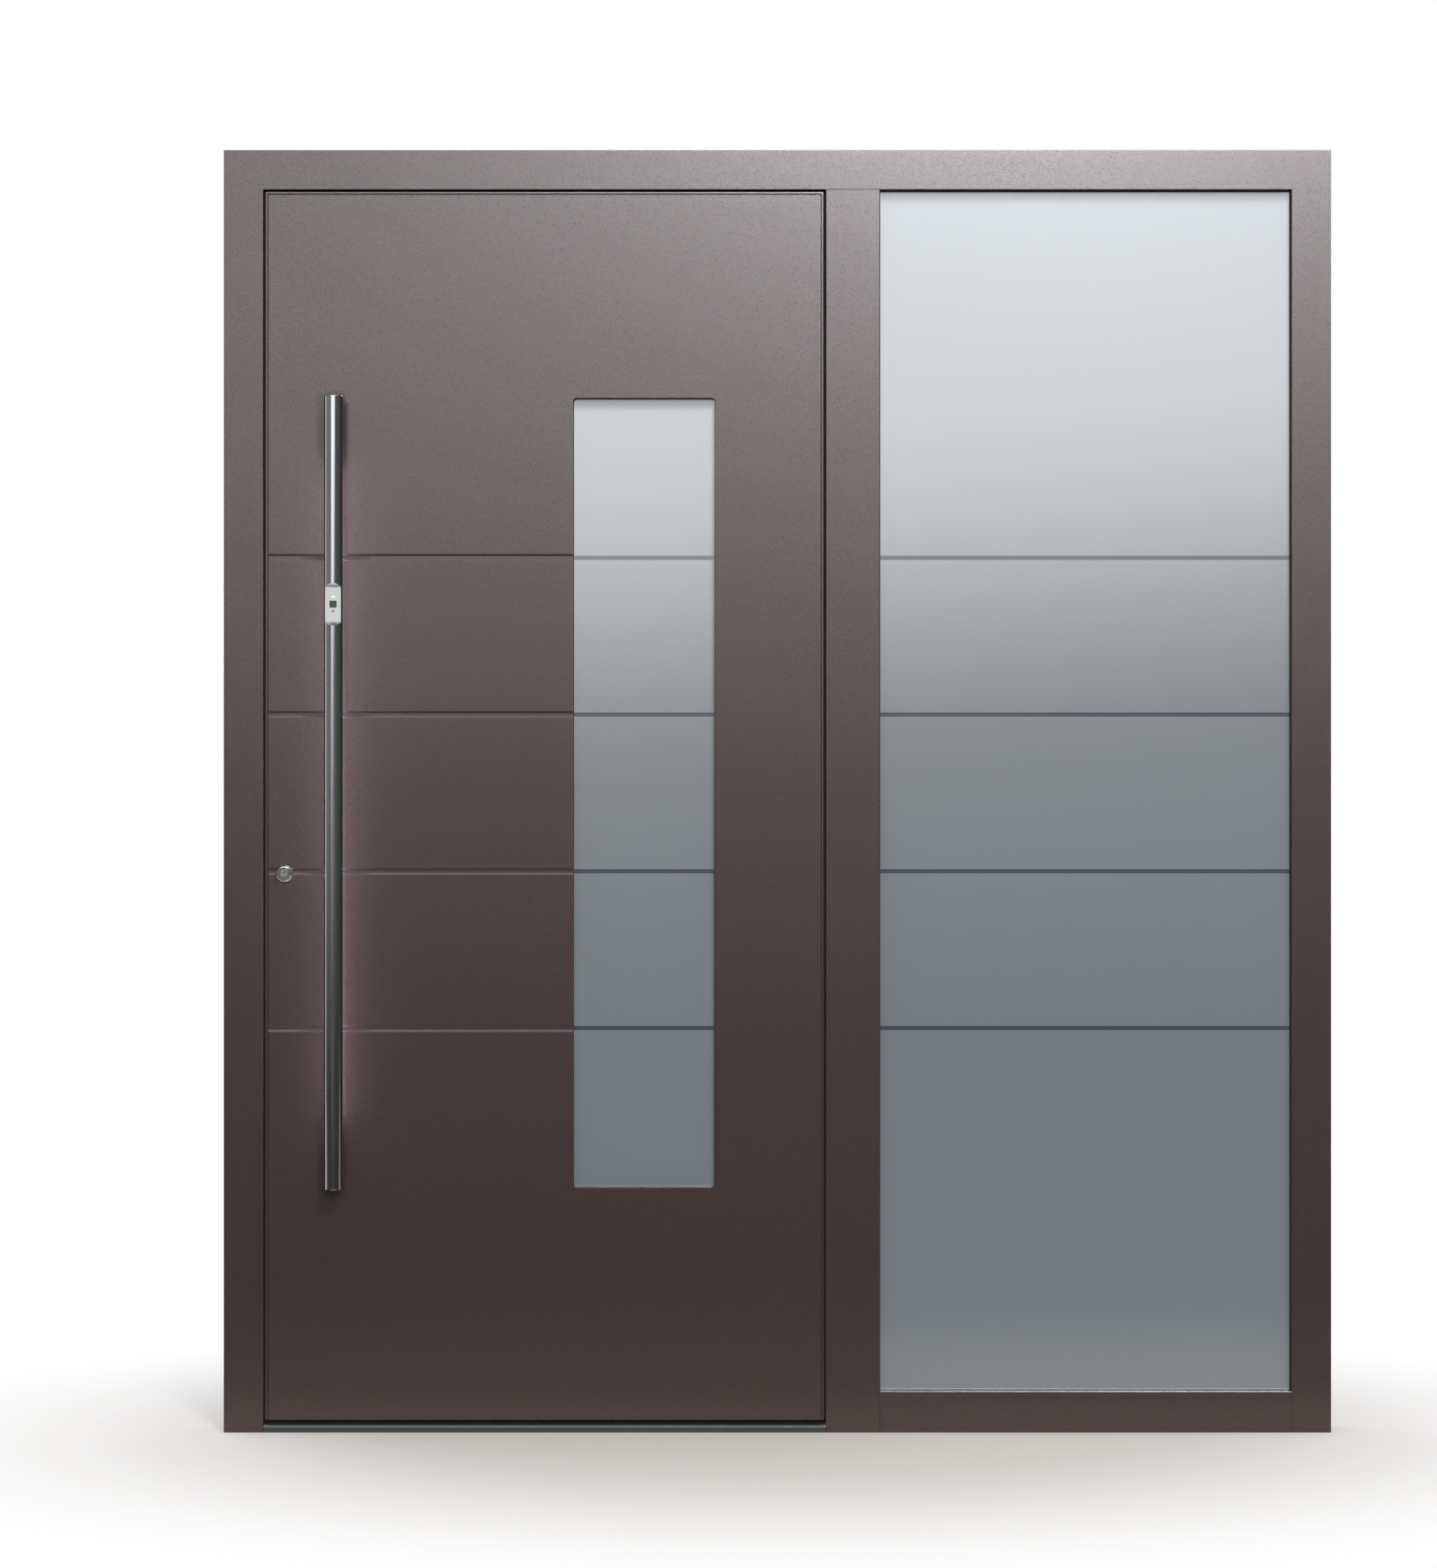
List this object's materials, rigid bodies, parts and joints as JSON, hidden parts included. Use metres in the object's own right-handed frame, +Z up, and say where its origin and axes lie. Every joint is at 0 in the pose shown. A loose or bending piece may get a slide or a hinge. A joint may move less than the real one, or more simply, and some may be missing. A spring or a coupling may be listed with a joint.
{
  "type": "entrance door with glazed side panel",
  "caption": "Flush metal entrance door with a tall window, milled grooves and a lit bar handle, hung in a frame with a fixed satin glass side panel.",
  "frame": {"origin": "on the underside of the threshold, at the middle of the frame's width and depth", "axes": "+X to the right seen from the street, +Y into the house, +Z up"},
  "size_m": [1.9, 0.226, 2.2],
  "materials": {
    "frame_paint": "fine structured metallic brown, satin",
    "leaf_paint": "fine structured metallic brown, satin",
    "satin_glass": "satin etched with clear stripes",
    "clear_glass": "clear",
    "spacer_black": "matt",
    "seal_rubber": "matt",
    "threshold_dark": "matt",
    "threshold_aluminium": "anodised",
    "brushed_steel": "fine brushed",
    "lock_steel": "ground",
    "hinge_metal": "satin",
    "polished_rosette": "polished",
    "key_plug": "satin nickel",
    "light_diffuser": "opal, lit from behind",
    "reader_grey": "satin",
    "sensor_dark": "gloss",
    "lamp_green": "gloss, lit"
  },
  "bodies": {
    "frame": {"left_jamb": "frame_paint", "right_jamb": "frame_paint", "frame_head": "frame_paint", "mullion": "frame_paint", "sidelight_sill_rail": "frame_paint", "threshold_base": "threshold_dark", "threshold_rail": "threshold_aluminium", "sidelight_outer_pane": "satin_glass", "sidelight_middle_pane": "clear_glass", "sidelight_inner_pane": "clear_glass", "sidelight_spacers": "spacer_black", "sidelight_seals": "seal_rubber", "sidelight_side_beads": "frame_paint", "sidelight_end_beads": "frame_paint", "frame_stop_seal": "seal_rubber", "keep_plates": "brushed_steel", "hinge_frame_halves": "hinge_metal", "hinge_pins": "lock_steel"},
    "leaf": {"leaf_lock_stile": "leaf_paint", "leaf_hinge_stile": "leaf_paint", "leaf_top_rail": "leaf_paint", "leaf_bottom_rail": "leaf_paint", "leaf_outer_panel": "leaf_paint", "leaf_inner_panel": "leaf_paint", "leaf_window_liner": "leaf_paint", "leaf_window_trim": "leaf_paint", "leaf_window_outer_pane": "satin_glass", "leaf_window_middle_pane": "clear_glass", "leaf_window_inner_pane": "clear_glass", "leaf_window_spacers": "spacer_black", "leaf_window_seals": "seal_rubber", "leaf_seal": "seal_rubber", "leaf_bottom_seal": "seal_rubber", "handle_bar": "brushed_steel", "handle_posts": "brushed_steel", "handle_end_caps": "brushed_steel", "inner_lever": "brushed_steel", "inner_lever_rose": "brushed_steel", "inner_lock_rose": "brushed_steel", "lock_faceplate": "brushed_steel", "lock_bolts": "lock_steel", "hinge_leaf_halves": "hinge_metal", "cylinder_rosette": "polished_rosette", "handle_light_strip": "light_diffuser", "reader_housing": "reader_grey", "reader_sensor": "sensor_dark", "reader_lamp": "lamp_green"},
    "key_plug": {"cylinder_plug": "key_plug"}
  },
  "joints": [
    {"name": "door_swing", "type": "hinge", "parent": "frame", "child": "leaf", "pos_m": [0.099, 0.057, 1.1], "axis": [0, 0, -1], "range_deg": [0, 110]},
    {"name": "key_turn", "type": "hinge", "parent": "leaf", "child": "key_plug", "pos_m": [-0.846, -0.05, 0.9605], "axis": [0, 1, 0], "continuous": true}
  ]
}
